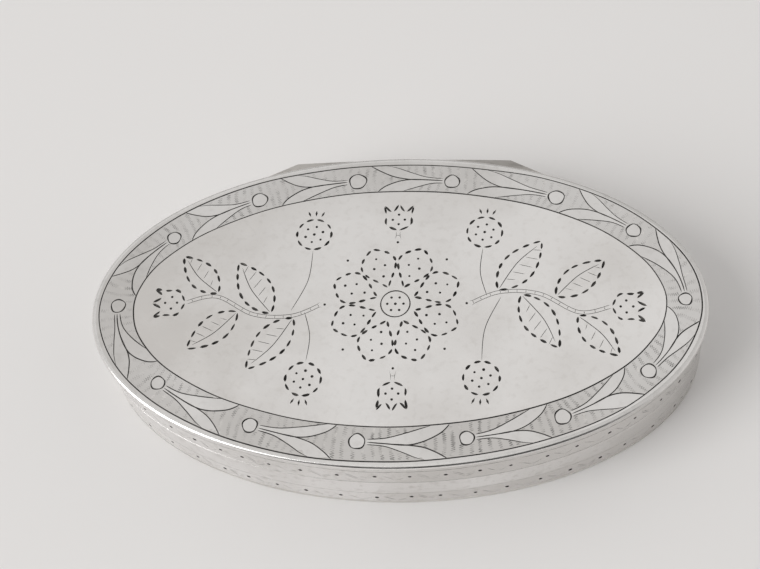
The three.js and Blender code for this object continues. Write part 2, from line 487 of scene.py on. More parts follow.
def strip_rings(low, high, thickness, rounding):
    """Rings from the strip's upper outer edge over its top, inside and foot to its lower outer edge."""
    corner = [(1 - math.cos(k * math.pi / 8), math.sin(k * math.pi / 8)) for k in range(5)]
    top, foot = high - rounding, low + rounding
    section = [(-rounding * back, top + rounding * up) for back, up in corner]
    section += [(-thickness + rounding * back, top + rounding * up) for back, up in reversed(corner)]
    section += [(-thickness + rounding * back, foot - rounding * up) for back, up in corner]
    section += [(-rounding * back, foot - rounding * up) for back, up in reversed(corner)]
    angles = [wall_angle(wall_round * i / OVAL_STEPS) for i in range(OVAL_STEPS)]
    return [[(*oval_point(a, out), z) for a in angles] for out, z in section]


def level_line(z, width):
    """A faint line scribed level round the wall, not quite steady."""
    STEPS = 420
    points = []
    for i in range(STEPS + 1):
        run = SEAM_ROOM + (wall_round - 2 * SEAM_ROOM) * i / STEPS
        points.append((run, z + 0.06 * math.sin(i / 9.0) + 0.04 * math.sin(i / 3.7)))
    return line_cut(points, width, 0.002, 0.002, FAINT)


def band_cuts(line_z, line_width, dots_z, pitch, swag, seen_runs):
    """A level line, pricked dots round the oval, and a light swag of one or two strokes between each two."""
    DOT_ROOM = 0.6
    fall = ((0.20, 0.35), (0.38, -0.25 * swag), (0.56, -swag))
    rise = ((0.56, -swag), (0.72, -0.75 * swag), (0.86, -0.2 * swag))
    rest = wall_round - seen_runs[-1] + seen_runs[0]
    more = round(rest / pitch) - 1
    runs = seen_runs + [seen_runs[-1] + rest * (i + 1) / (more + 1) for i in range(more)]
    cuts = [level_line(line_z, line_width)]
    for run, after in zip(runs, [*runs[1:], runs[0] + wall_round]):
        x, gap = run % wall_round, after - run
        z = dots_z + hand.uniform(-0.16, 0.16)
        if DOT_ROOM < x < wall_round - DOT_ROOM:
            cuts.append(dot_cut(x, z, hand.uniform(0.46, 0.58)))
        for lift in (0.0, 0.45)[: hand.choice((1, 1, 2))]:
            for shape, width in ((fall, 0.105), (rise, 0.075)):
                stroke = [(x + share * gap, z + up + lift) for share, up in shape]
                if stroke[0][0] > SEAM_ROOM and stroke[-1][0] < wall_round - SEAM_ROOM:
                    width *= hand.uniform(0.6, 1.1)
                    cuts.append(line_cut(smooth_line(stroke, 0.35), width, 0.4, 0.6, FAINT))
    return cuts


def engraved_strip(name, low, high, cuts, metal):
    """A strip of the side between two heights, with its cuts."""
    face = wall_outline((low + EDGE_ROUNDING) / MM, (high - EDGE_ROUNDING) / MM)
    back = strip_rings(low, high, WALL_SHEET, EDGE_ROUNDING)
    metals = [metal, cut_metal, faint_metal]
    return engraved_piece(name, cut_drawing(face, cuts, WALL_SPACING), on_wall, back, metals)


wall_metal = silver("wall_silver", *WALL_METAL, WALL_MARKS, tarnish_and_shade=WALL_TARNISH_AND_SHADE, speckle=WALL_SPECKLE)
cut_metal = oxide("cut_oxide", OXIDE)
faint_metal = oxide("faint_oxide", FAINT_OXIDE)
wall_cuts = band_cuts(line_z=3.35, line_width=0.05, dots_z=2.0, pitch=4.13, swag=0.75,
                      seen_runs=[76.1, 79.5, 83.5, 87.4, 92.0, 96.7, 101.2, 104.9,
                                 109.4, 113.5, 117.9, 121.9, 126.1, 129.7, 134.2])
wall = engraved_strip("engraved_wall", wall_low.z, wall_high.z, wall_cuts, wall_metal)
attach(wall, "body")
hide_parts("body_wall")

# Bezel: a thinner strip soldered inside the wall. It stands above the parting line, and the lid slides
# over it and holds by friction, which has polished its upper part.
bezel_low, bezel_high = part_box("inner_bezel")
BEZEL_SHEET = 0.5 * MM
BEZEL_EDGE = 0.1 * MM
BEZEL_METAL = ((0.83, 0.815, 0.785), (0.60, 0.57, 0.52), 0.34)
BEZEL_MARKS = [((11, 11, 0.06), 0), ((0.08, 0.08, 4), 0)]


def work(piece, kind, **settings):
    """One modifier, set and applied at once."""
    take_up(piece)
    tool = piece.modifiers.new(kind, kind)
    for setting, value in settings.items():
        setattr(tool, setting, value)
    bpy.ops.object.modifier_apply(modifier=tool.name)


bezel = start_oval("bezel_strip", bezel_high.x - half_length, bezel_low.z)
draw_up(bezel_high.z - bezel_low.z)
work(bezel, "SOLIDIFY", thickness=BEZEL_SHEET, offset=-1.0)
work(bezel, "BEVEL", width=BEZEL_EDGE, segments=3)
smooth(bezel)
bezel.data.materials.append(silver("bezel_silver", *BEZEL_METAL, BEZEL_MARKS))
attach(bezel, "body")
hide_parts("inner_bezel")

# Hinge bearers: two straight-backed fillings of silver, one on the body and one on the lid, filed to the
# oval and soldered to it. Each is grooved for the knuckles. Their silver is coloured dark, partly for old
# black polish and partly as painted shade where they sit low behind the rim, and darker towards the
# right-hand end as painted shadow.
hinge = next(j for j in frame["joints"] if j["name"] == "lid_hinge")
_, hinge_y, hinge_z = hinge["pos_m"]
knuckle_low, knuckle_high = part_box("hinge_knuckle_1")
knuckle_radius = (knuckle_high.z - knuckle_low.z) / 2
hinge_half = -knuckle_low.x
GROOVE_ROOM = 0.08 * MM
BEARER_CAP = 0.92 * MM  # metal over the groove at the ends of the lid bearer's back
BEARER_BOW = 0.55 * MM  # how much higher that back stands in its middle
BEARER_SOLDER = 0.02 * MM
BEARER_EDGE = 0.05 * MM
# Dark silver: partly old black polish, partly painted shade for the bearers' low place behind the rim
BEARER_METAL = ((0.58, 0.56, 0.53), (0.30, 0.285, 0.265), 0.40)
BEARER_MARKS = [((5, 0.08, 5), 0), ((3, 0.06, 3), 60)]
# Painted shadow, deepening towards the right-hand end
BEARER_PAINTED_SHADOW = [(0.4, ("X", 4, 17))]
hinge_metal = silver("hinge_silver", *BEARER_METAL, BEARER_MARKS, uneven=0.6, stain_amount=0.8,
                     tarnish_and_shade=BEARER_PAINTED_SHADOW)


def rod(radius, length, sides, place, ends="NGON"):
    """A round bar along X, or a tube if it has no ends, its turn and place worked into its mesh."""
    bpy.ops.mesh.primitive_cylinder_add(vertices=sides, radius=radius, depth=length, end_fill_type=ends,
                                        location=place, rotation=(0, math.pi / 2, 0))
    bpy.ops.object.transform_apply(location=True, rotation=True, scale=True)
    return bpy.context.active_object


def hinge_bearer(name, node, body, seam, root, back, bow=0.0):
    """A bearer from the seam to a face that runs from its root on the wall to a back that may bow up."""
    _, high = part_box(node)
    COLUMNS, ROWS = 84, 6

    def oval_y(x):
        return oval_point(math.acos(x / (half_length + BEARER_SOLDER)), BEARER_SOLDER).y

    bpy.ops.mesh.primitive_grid_add(x_subdivisions=COLUMNS, y_subdivisions=ROWS, size=2.0)
    block = bpy.context.active_object
    block.name = block.data.name = name
    for vertex in block.data.vertices:
        x = vertex.co.x * high.x
        if abs(abs(x) - hinge_half) < high.x / COLUMNS:
            x = math.copysign(hinge_half, x)
        share = (vertex.co.y + 1) / 2
        wall_y = oval_y(x)
        past = max(0.0, abs(x) - hinge_half) / (high.x - hinge_half)
        back_y = high.y + past * (oval_y(high.x) - high.y)
        back_z = back + past * (root - back) + bow * max(0.0, 1 - (x / hinge_half) ** 2)
        vertex.co = (x, wall_y + share * (back_y - wall_y), root + share * (back_z - root))
    draw_up(0.0, flat_at=seam)
    groove = rod(knuckle_radius + GROOVE_ROOM, half_length, 64, (0, hinge_y, hinge_z))
    work(block, "BOOLEAN", operation="DIFFERENCE", solver="EXACT", object=groove)
    bpy.data.objects.remove(groove)
    work(block, "BEVEL", width=BEARER_EDGE, segments=2, limit_method="ANGLE", angle_limit=math.radians(35))
    smooth(block)
    block.data.materials.append(hinge_metal)
    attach(block, body)
    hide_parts(node)


under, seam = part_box("body_hinge_bearer")
hinge_bearer("body_bearer", "body_hinge_bearer", "body", seam.z, under.z, under.z)
seam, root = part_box("lid_hinge_bearer")
lid_bearer_back = hinge_z + knuckle_radius + GROOVE_ROOM + BEARER_CAP
hinge_bearer("lid_bearer", "lid_hinge_bearer", "lid", seam.z, root.z, lid_bearer_back, BEARER_BOW)

# Hinge knuckles: short lengths of drawn silver tube, in turn on the body and on the lid, each soldered into
# its own bearer. They are cut from one length, so one is modelled and the others are copies of it.
PIN_ROOM = 0.05 * MM
KNUCKLE_EDGE = 0.07 * MM
pin_low, pin_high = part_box("hinge_pin")
pin_radius = (pin_high.z - pin_low.z) / 2
knuckle_nodes = sorted(n for n in frame["nodes"] if n.startswith("hinge_knuckle_"))
tube = rod(knuckle_radius, knuckle_high.x - knuckle_low.x, 48, (0, 0, 0), ends="NOTHING")
work(tube, "SOLIDIFY", thickness=knuckle_radius - pin_radius - PIN_ROOM, offset=-1.0)
work(tube, "BEVEL", width=KNUCKLE_EDGE, segments=3)
smooth(tube)
tube.data.materials.append(hinge_metal)
for node in knuckle_nodes:
    low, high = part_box(node)
    knuckle = tube.copy()
    knuckle.data = tube.data.copy()
    knuckle.name = knuckle.data.name = node.replace("hinge_knuckle", "tube_knuckle")
    scene.collection.objects.link(knuckle)
    knuckle.data.transform(Matrix.Translation(((low.x + high.x) / 2, hinge_y, hinge_z)))
    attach(knuckle, "body" if node in frame["record"]["behaviour"]["bodies"]["body"] else "lid")
    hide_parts(node)
bpy.data.objects.remove(tube)

# Hinge pin: drawn wire pushed through all the knuckles, where it holds by friction. Its two ends were cut
# a little proud of the last knuckles and filed round.
PIN_METAL = ((0.52, 0.505, 0.48), (0.25, 0.235, 0.215), 0.42)
PIN_MARKS = [((4, 0.05, 0.05), 0)]
PIN_ROUNDING = 0.2 * MM
pin = rod(pin_radius, pin_high.x - pin_low.x, 32, (0, hinge_y, hinge_z))
pin.name = pin.data.name = "pin_of_wire"
pin_end = pin_high.x - 0.01 * MM
round_edges(pin, lambda p: abs(p.x) > pin_end, PIN_ROUNDING, 4)
smooth(pin)
pin.data.materials.append(silver("pin_metal", *PIN_METAL, PIN_MARKS, uneven=0.3))
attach(pin, "body")
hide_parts("hinge_pin")

# Lid skirt: the strip that stands on the wall when the box is shut. It was engraved with the wall, with
# a row of pricked dots and wavy strokes between them.
skirt_low, skirt_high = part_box("lid_skirt")
# Tarnish on the engraved skirt, clean at its left end; painted shade along its foot at the parting line, from
# the front round to the right; and painted shade at the right-hand end, away from the lamp
SKIRT_TARNISH_AND_SHADE = [(0.95, ("X", -14, 8)), (0.5, ("X", -2, 8), ("Z", 7.8, 7.3)), (0.4, ("X", 20, 34))]
skirt_cuts = band_cuts(line_z=10.4, line_width=0.10, dots_z=8.8, pitch=4.15, swag=1.0,
                       seen_runs=[64.9, 69.4, 73.0, 76.8, 79.8, 83.4, 87.6, 92.3, 97.1, 101.5,
                                  106.0, 110.3, 114.2, 118.9, 122.8, 127.3, 131.0, 135.2, 138.7])
skirt_metal = silver("skirt_silver", *WALL_METAL, WALL_MARKS, tarnish_and_shade=SKIRT_TARNISH_AND_SHADE, speckle=WALL_SPECKLE)
skirt = engraved_strip("engraved_skirt", skirt_low.z, skirt_high.z, skirt_cuts, skirt_metal)
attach(skirt, "lid")
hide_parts("lid_skirt")

# Lid plate: a low-crowned oval sheet, soldered on the skirt inside the rim wire. Two lines hold a running
# border of leaves and berries on wriggled ground, and the panel has dashed and dotted flowers. Every
# stroke is a real cut in the sheet, so its face is built from the drawing.
plate_low, plate_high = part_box("lid_plate")
rim_low, rim_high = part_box("lid_rim_wire")
PLATE_EDGE = -0.205 * MM
PLATE_SPACING = 1.1
OUTER_LINE = -0.65
BORDER_WIDTH = 4.43
BORDER_STEPS = 3600
LINE_WIDTH = 0.17
ASIDE_X, ASIDE_Y = 0.10, 0.065  # how far the engraver's ovals lie off the middle of the plate
BORDER_MARKS = [((6, 0.05, 6), 25), ((8, 0.06, 8), -35)]
BORDER_STAIN = (0.66, 0.64, 0.62)
LID_MARKS = [*BORDER_MARKS, ((4, 0.05, 4), 80)]
LID_METAL = ((0.90, 0.883, 0.868), (0.74, 0.715, 0.69), 0.36)
# The panel is coloured darker towards its left end
LID_DARKER_LEFT = [(0.7, ("X", -8, -34))]
LEAF_METAL = ((0.85, 0.834, 0.82), BORDER_STAIN, 0.38)
# The leaves are coloured darker towards the left end
LEAF_DARKER_LEFT = [(0.5, ("X", -26, -36))]
GROUND_METAL = ((0.765, 0.75, 0.736), BORDER_STAIN, 0.4)
# The ground is coloured darker towards the front and towards the left end
GROUND_DARKER_FRONT_AND_LEFT = [(0.7, ("Y", -10, -17)), (0.6, ("X", -26, -36))]
# Each berry's place along the border in mm, its share across and its radius. Then, as shares of the way to
# the next berry and across, where its stem forks. Last, as shares of the way, where the outer and inner
# leaves end, and where the outer and inner backs end.
SPRIGS = [
    (0.45, 0.54, 0.85, 0.53, 0.56, 0.85, 0.92, 0.67, 0.72),
    (12.60, 0.53, 0.95, 0.46, 0.50, 0.80, 0.90, 0.66, 0.66),
    (23.87, 0.49, 1.05, 0.51, 0.42, 0.84, 0.84, 0.70, 0.57),
    (38.07, 0.41, 1.00, 0.43, 0.43, 0.86, 0.79, 0.70, 0.52),
    (50.87, 0.44, 1.15, 0.45, 0.46, 0.75, 0.80, 0.59, 0.58),
    (64.45, 0.43, 1.05, 0.45, 0.42, 0.76, 0.86, 0.62, 0.55),
    (77.18, 0.42, 0.90, 0.46, 0.47, 0.71, 0.85, 0.60, 0.58),
    (89.88, 0.47, 0.95, 0.50, 0.50, 0.76, 0.83, 0.59, 0.63),
    (103.42, 0.50, 0.90, 0.45, 0.55, 0.78, 0.83, 0.61, 0.64),
    (117.22, 0.49, 0.95, 0.43, 0.53, 0.80, 0.80, 0.59, 0.72),
    (131.08, 0.46, 1.00, 0.45, 0.55, 0.81, 0.86, 0.62, 0.68),
    (144.77, 0.49, 0.90, 0.47, 0.53, 0.83, 0.90, 0.64, 0.71),
    (156.91, 0.52, 1.00, 0.49, 0.49, 0.81, 0.84, 0.60, 0.69),
    (169.30, 0.54, 0.95, 0.49, 0.54, 0.77, 0.90, 0.63, 0.67),
]
# How far the graver strayed out from the outer line, from the right-hand end round the back, every 15 degrees
OUTER_STRAY = [0.04, 0.14, 0.04, 0.14, 0.10, -0.20, -0.20, -0.08, 0.10, 0.05, -0.04, 0.04,
               0.14, 0.05, 0.09, 0.14, 0.25, 0.32, 0.20, 0.08, 0.08, 0.14, -0.04, -0.14]
crown = plate_high.z - rim_high.z
border_round, border_angle = oval_walk((OUTER_LINE - BORDER_WIDTH / 2) * MM, 0.0)
border_runs = [border_round * i / BORDER_STEPS for i in range(BORDER_STEPS)]
border_angles = [border_angle(run) for run in border_runs]


def stray(angle):
    """How far the outer line strays out at a drawing angle, eased from one of its turns to the next."""
    count = len(OUTER_STRAY)
    turn = angle % (2 * math.pi) / (2 * math.pi / count)
    i = int(turn)
    here, there = OUTER_STRAY[i % count], OUTER_STRAY[(i + 1) % count]
    ease = 0.5 - 0.5 * math.cos(math.pi * (turn - i))
    return here + ease * (there - here)


def on_border(run, across):
    """A place on the lid in mm: run along the border's middle, across from its inner line to its outer."""
    angle = border_angle(run % border_round)
    x, y = oval_point(angle, (OUTER_LINE - BORDER_WIDTH * (1 - across) + stray(angle) * across ** 4) * MM)
    return x / MM, y / MM


def oval_line(out, count, strays):
    """Points of a whole line round the lid, with the small wander of a hand-held graver."""
    points = []
    for a in turns(count):
        wander = stray(a) if strays else 0.03 * math.sin(7 * a + out) + 0.02 * math.sin(19 * a)
        x, y = oval_point(a, (out + wander) * MM)
        points.append((x / MM, y / MM))
    return points


def inside_shape(shape, x, y):
    """Whether a point lies inside a closed outline."""
    hit = False
    for (ax, ay), (bx, by) in zip(shape, [*shape[1:], shape[0]]):
        if (ay > y) != (by > y) and x < ax + (bx - ax) * (y - ay) / (by - ay):
            hit = not hit
    return hit


STEM = [(0, 0), (0.5, 0.45)]
INNER_LEAF = [(0, 0), (0.35, 0.13), (0.70, 0.45), (0.88, 0.72), (1, 1)]
OUTER_LEAF = [(0, 0), (0.41, 0.18), (0.73, 0.55), (1, 1)]
OUTER_BACK = [(0, 0), (0.3, 0.08), (0.58, 0.42), (0.82, 0.80), (1, 1)]
INNER_BACK = [(0, 0), (0.29, 0.12), (0.6, 0.5), (0.86, 0.84), (1, 1)]


def between(shape, a, b):
    """The shape of a line, stretched from one place to another."""
    return [(a[0] + u * (b[0] - a[0]), a[1] + w * (b[1] - a[1])) for u, w in shape]


def laid_out(shape, pitch):
    """A smooth line in mm along and across the border, from its shares of the pitch and of the width."""
    return smooth_line([(p * pitch, a * BORDER_WIDTH) for p, a in shape], 0.28)


hand = random.Random(21)
lid_cuts = [ring_cut(oval_line(OUTER_LINE, 420, True), LINE_WIDTH),
            ring_cut(oval_line(OUTER_LINE - BORDER_WIDTH, 380, False), LINE_WIDTH)]
plain_shapes = []
for sprig, after in zip(SPRIGS, [*SPRIGS[1:], SPRIGS[0]]):
    run, across, radius, fork, fork_across, outer_tip, inner_tip, outer_end, inner_end = sprig
    pitch = (after[0] - run) % border_round
    foot = radius / pitch + 0.015
    forked = (fork, fork_across)
    stem = between(STEM, (foot, across + 0.01), forked)
    strokes = {
        "inner_leaf": (stem + between(INNER_LEAF, forked, (inner_tip, 0.0)), 0.15, 0.12, 0.06),
        "outer_leaf": ([stem[-1], *between(OUTER_LEAF, forked, (outer_tip, 1.0))], 0.15, 0.3, 0.1),
        "outer_back": (between(OUTER_BACK, (foot, across + 0.08), (outer_end, 0.99)), 0.12, 0.14, 0.35),
        "inner_back": (between(INNER_BACK, (foot, across - 0.075), (inner_end, 0.01)), 0.13, 0.14, 0.2),
    }
    lines = {}
    for name, (shape, width, start, end) in strokes.items():
        lines[name] = laid_out(shape, pitch)
        line = [on_border(run + p, a / BORDER_WIDTH) for p, a in lines[name]]
        lid_cuts.append(line_cut(line, width * hand.uniform(0.85, 1.15), start, end))
    middle = on_border(run, across)
    wobble = hand.uniform(0, 6.28)
    berry = []
    for a in turns(30):
        r = radius * (1 + 0.035 * math.sin(3 * a + wobble) + 0.02 * math.sin(5 * a))
        berry.append((middle[0] + r * math.cos(a), middle[1] + r * math.sin(a)))
    lid_cuts.append(ring_cut(berry, 0.165, 0.3))
    stem_points = len(laid_out(strokes["inner_leaf"][0][:3], pitch))
    stem_run = lines["inner_leaf"][:stem_points]
    outer_shape = [*lines["outer_back"], (outer_tip * pitch, BORDER_WIDTH),
                   *reversed(lines["outer_leaf"]), *reversed(stem_run)]
    inner_shape = [*lines["inner_back"], (inner_tip * pitch, 0.0), *reversed(lines["inner_leaf"])]
    plain_shapes.append((run, pitch, radius, inner_shape, outer_shape, middle))


def on_plain(run, across):
    """Whether a place of the border is on a leaf or a berry, which the engraver left plain."""
    x, y = on_border(run, across)
    for start, pitch, radius, inner_shape, outer_shape, middle in plain_shapes:
        if math.hypot(x - middle[0], y - middle[1]) < radius:
            return True
        ahead = (run - start) % border_round
        place = (ahead, across * BORDER_WIDTH)
        if ahead < pitch and (inside_shape(inner_shape, *place) or inside_shape(outer_shape, *place)):
            return True
    return False


def border_tone(x, y):
    """The wriggled ground of the border is duller than its leaves and berries, and those than the panel."""
    angle = math.atan2(y / half_width, x / half_length)
    for _ in range(4):
        there = oval_point(angle, (OUTER_LINE - BORDER_WIDTH / 2) * MM) / MM
        along = (oval_point(angle + 0.001, 0.0) - oval_point(angle - 0.001, 0.0)) / MM
        angle += 0.002 * (Vector((x, y)) - there).dot(along) / along.length_squared
    there = oval_point(angle, (OUTER_LINE - BORDER_WIDTH) * MM) / MM
    normal = (oval_point(angle, MM) - oval_point(angle, 0.0)) / MM
    across = (Vector((x, y)) - there).dot(normal) / BORDER_WIDTH
    if across < 0.0:
        return 0
    if across > 1.0 + stray(angle) / BORDER_WIDTH:
        return LEAF
    place = bisect.bisect(border_angles, angle % (2 * math.pi)) - 1
    return LEAF if on_plain(border_runs[place], across) else GROUND


STRIP_STEP = 1.12
WRIGGLE_STEP = 0.135
WRIGGLE_OXIDE = (0.25, 0.243, 0.235)
LEG = [(t, t) for t in (0.0, 0.25, 0.75, 1.0)]
DASH = [(t, t) for t in (0.0, 0.5, 1.0)]
FRONT_RUN, FRONT_REACH = 143.0, 26.0  # the stretch of the border where the wriggles were cut deepest
strip_run = 0.0
while strip_run < border_round - 0.6 * STRIP_STEP:
    strip_run += STRIP_STEP * hand.uniform(0.86, 1.14)
    swing = hand.uniform(0.26, 0.35)
    slant = 0.5 * math.sin(strip_run / 4.1) + hand.uniform(-0.15, 0.15)
    bow = 1.6 * math.sin(strip_run / 2.9) + hand.uniform(-0.3, 0.3)
    patch = hand.uniform(0, 6.28)
    nearness = max(0.0, 1 - (abs(strip_run - FRONT_RUN) / FRONT_REACH) ** 2)
    strength = (0.036 + 0.036 * nearness) * hand.uniform(0.75, 1.2)
    for leg in range(int(0.92 * BORDER_WIDTH / WRIGGLE_STEP)):
        side = 1 if leg % 2 else -1
        low, high = 0.04 + leg * WRIGGLE_STEP / BORDER_WIDTH, 0.04 + (leg + 1) * WRIGGLE_STEP / BORDER_WIDTH
        sway = slant * (low - 0.5) + bow * (low - 0.5) ** 2 + hand.uniform(-0.05, 0.05)
        reach = side * swing * hand.uniform(0.75, 1.1)
        if any(on_plain(strip_run + sway + end * swing, (low + high) / 2) for end in (-0.7, 0, 0.7)):
            continue
        a = on_border(strip_run + sway - reach, low)
        b = on_border(strip_run + sway + reach, high)
        depth = strength * (1 + 0.35 * math.sin(patch + leg / 4))
        lid_cuts.append(line_cut(between(LEG, a, b), depth, 0.3, 0.3, WRIGGLE))


def dashes(path, width=0.34, dash=1.08, gap=0.36):
    """Short wedge cuts that follow a path, as the engraver outlined the flowers."""
    run = [0.0]
    for a, b in zip(path, path[1:]):
        run.append(run[-1] + math.dist(a, b))

    def at(distance):
        i = min(max(bisect.bisect(run, distance) - 1, 0), len(path) - 2)
        t = (distance - run[i]) / max(1e-9, run[i + 1] - run[i])
        return tuple(p + t * (q - p) for p, q in zip(path[i], path[i + 1]))

    count = max(1, round(run[-1] / (dash + gap)))
    step = run[-1] / count
    for i in range(count):
        start = i * step + 0.5 * gap + hand.uniform(-0.08, 0.08)
        length = (step - gap) * hand.uniform(0.86, 1.08)
        points = [at(start + length * k / 4) for k in range(5)]
        lid_cuts.append(line_cut(points, width * hand.uniform(0.8, 1.15), 0.45, 0.35))


def placed(points, x, y, angle):
    """Points of a flower drawn along +X, turned and moved to its place."""
    c, s = math.cos(angle), math.sin(angle)
    return [(x + c * px - s * py, y + s * px + c * py) for px, py in points]


def leaf_edge(length, width, fullest=0.45, steps=16):
    """One edge of a leaf or petal along +X, from its foot to its tip."""
    edge = []
    for i in range(steps + 1):
        t = i / steps
        bulge = math.sin(math.pi * t ** (math.log(0.5) / math.log(fullest)))
        edge.append((length * t, 0.5 * width * max(0.0, bulge) ** 0.9))
    return edge


def fine(points, width=0.075):
    """A hair line."""
    lid_cuts.append(line_cut(smooth_line(points, 0.4), width, 0.2, 0.3))


def both_edges(edge, x, y, angle):
    """The two dashed edges of a leaf or petal."""
    for side in (1, -1):
        dashes(placed([(px, side * py) for px, py in edge], x, y, angle))


def prick(px, py, x, y, angle, width=0.36):
    """A dot in a flower that is drawn along +X."""
    lid_cuts.append(dot_cut(*placed([(px, py)], x, y, angle)[0], width))


def leaf(x, y, degrees, length, width, veins):
    """A dashed leaf with a fine midrib, and veins on its lower half."""
    angle = math.radians(degrees)
    both_edges(leaf_edge(length, width), x, y, angle)
    fine(placed([(0.2, 0), (0.5 * length, 0.12 * width), (0.9 * length, 0)], x, y, angle), 0.10)
    for k in range(veins):
        t = 0.2 + 0.6 * k / max(1, veins - 1)
        reach = 0.36 * width * math.sin(math.pi * t)
        fine(placed([(t * length, 0.05 * width), ((t + 0.08) * length, -reach)], x, y, angle), 0.07)


def fruit(x, y, radius, degrees):
    """A round dashed fruit, pricked all over, with three small dashes for its crown."""
    angle = math.radians(degrees)
    path = around(0, 0, radius, 40)
    dashes(placed([*path, path[0]], x, y, angle))
    for ring, count in ((0.0, 1), (0.52, 6)):
        for place in around(x, y, ring * radius, count, 0.3):
            lid_cuts.append(dot_cut(*place, hand.uniform(0.32, 0.42)))
    for lean in (-0.5, 0.0, 0.5):
        ends = [(radius * far * math.cos(lean * bend), radius * far * math.sin(lean * bend))
                for far, bend in ((1.22, 0.5), (1.62, 0.6))]
        lid_cuts.append(line_cut(placed(between(DASH, *ends), x, y, angle), 0.3, 0.5, 0.5))


def tulip(x, y, degrees, length):
    """A three-pointed tulip with pricked petals."""
    PETAL = [(0, 0), (0.22, 0.40), (0.6, 0.42), (1, 0.50)]
    NOTCH = [(1, 0.50), (0.72, 0.22), (1.05, 0)]
    angle = math.radians(degrees)
    for side in (1, -1):
        for shape in (PETAL, NOTCH):
            edge = [(px * length, side * py * length) for px, py in shape]
            dashes(placed(smooth_line(edge, 0.3), x, y, angle))
        prick(0.42 * length, side * 0.2 * length, x, y, angle)
    for along in (0.62, 0.25):
        prick(along * length, 0, x, y, angle)


def laddered_stem(points):
    """Two fine lines with short strokes across, as a stem."""
    line = smooth_line(points, 0.55)
    left, right = side_points(line, [0.24] * len(line), False)
    for edge in (left, right):
        lid_cuts.append(line_cut(edge, 0.07, 0.05, 0.05))
    for a, b in zip(left[1:-1:2], right[1:-1:2]):
        lid_cuts.append(line_cut(between(DASH, a, b), 0.08, 0.5, 0.5))


# The flower in the middle, and what grows on each side of it, in mm and degrees
PETALS = 8
PETAL_FOOT, PETAL_LENGTH, PETAL_WIDTH = 2.5, 6.3, 4.6
PETAL_DOTS = [(4.4, 0), (5.9, 0.75), (5.9, -0.75), (7.2, 0)]
FRUIT_RADIUS = 2.3
BRANCH = [(9.7, 0.0), (13.5, 1.6), (18.5, 1.3), (23.5, -1.4), (27.6, -0.6)]
LEAVES = [(13.2, 1.9, 52, 9.2, 4.2, 5), (16.2, 1.2, -58, 9.0, 4.2, 5),
          (20.6, 0.9, 40, 8.2, 3.8, 5), (23.4, -1.9, -48, 7.6, 3.6, 4)]
STALKS = [([(11.8, 1.0), (10.9, 4.5), (11.2, 8.2)], (11.4, 10.6), 84),
          ([(13.6, 0.9), (11.6, -3.6), (11.2, -8.2)], (11.2, -10.6), -92)]
half_petal = math.radians(180 / PETALS)
for k in range(PETALS):
    angle = math.radians(180 / PETALS + 360 / PETALS * k)
    both_edges([(PETAL_FOOT + px, py) for px, py in leaf_edge(PETAL_LENGTH, PETAL_WIDTH, 0.6)], 0, 0, angle)
    for px, py in PETAL_DOTS:
        prick(px, py, 0, 0, angle, hand.uniform(0.3, 0.4))
    prick(9.2, 0, 0, 0, angle + half_petal)
lid_cuts.append(ring_cut(around(0, 0, 1.9, 36), 0.16))
for place in around(0, 0, 1.05, 6):
    lid_cuts.append(dot_cut(*place, 0.36))
lid_cuts.append(dot_cut(0, 0, 0.4))
for up in (1, -1):
    laddered_stem([(0, up * 9.6), (0, up * 10.9)])
    tulip(0, up * 11.0, 90 * up, 4.0)
for side, flip in ((1, 0), (-1, 180)):
    laddered_stem([(side * px, side * py) for px, py in BRANCH])
    tulip(side * 27.7, -side * 0.6, flip, 4.3)
    for px, py, degrees, length, width, veins in LEAVES:
        leaf(side * px, side * py, flip + degrees, length, width, veins)
    for stalk, (fruit_x, fruit_y), degrees in STALKS:
        fine([(side * px, side * py) for px, py in stalk], 0.09)
        fruit(side * fruit_x, side * fruit_y, FRUIT_RADIUS, flip + degrees)


def on_lid(x, y, depth):
    """A place on the crowned lid in mm, sunk by the depth of a cut."""
    share = (x * MM / (half_length + PLATE_EDGE)) ** 2 + (y * MM / (half_width + PLATE_EDGE)) ** 2
    return x * MM, y * MM, rim_high.z + crown * (1 - min(1.0, share)) - depth * MM


plate_edge = [oval_point(a, PLATE_EDGE) for a in turns(OVAL_STEPS)]
plate_outline = [tuple(p / MM) for p in plate_edge]
plate_rings = [[on_lid(x, y, 0.0) for x, y in plate_outline], [(*p, plate_low.z) for p in plate_edge]]
for share in (0.8, 0.6, 0.4, 0.2):
    hollow_z = plate_low.z + crown * (1 - share ** 2)
    plate_rings.append([(*(share * p), hollow_z) for p in plate_edge])
plate_rings.append([(0, 0, plate_low.z + crown)])
lid_metal = silver("lid_silver", *LID_METAL, LID_MARKS, stain_amount=0.6, tarnish_and_shade=LID_DARKER_LEFT)
leaf_metal = silver("leaf_silver", *LEAF_METAL, BORDER_MARKS, tarnish_and_shade=LEAF_DARKER_LEFT)
ground_metal = silver("ground_silver", *GROUND_METAL, BORDER_MARKS, tarnish_and_shade=GROUND_DARKER_FRONT_AND_LEFT)
wriggle_metal = oxide("wriggle_oxide", WRIGGLE_OXIDE)
lid_cuts = [([(x + ASIDE_X, y + ASIDE_Y) for x, y in points], *rest) for points, *rest in lid_cuts]
drawing = cut_drawing(plate_outline, lid_cuts, PLATE_SPACING,
                      lambda x, y: border_tone(x - ASIDE_X, y - ASIDE_Y))
lid_metals = [lid_metal, cut_metal, faint_metal, ground_metal, leaf_metal, wriggle_metal]
lid = engraved_piece("engraved_lid", drawing, on_lid, plate_rings, lid_metals)
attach(lid, "lid")
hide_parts("lid_plate")

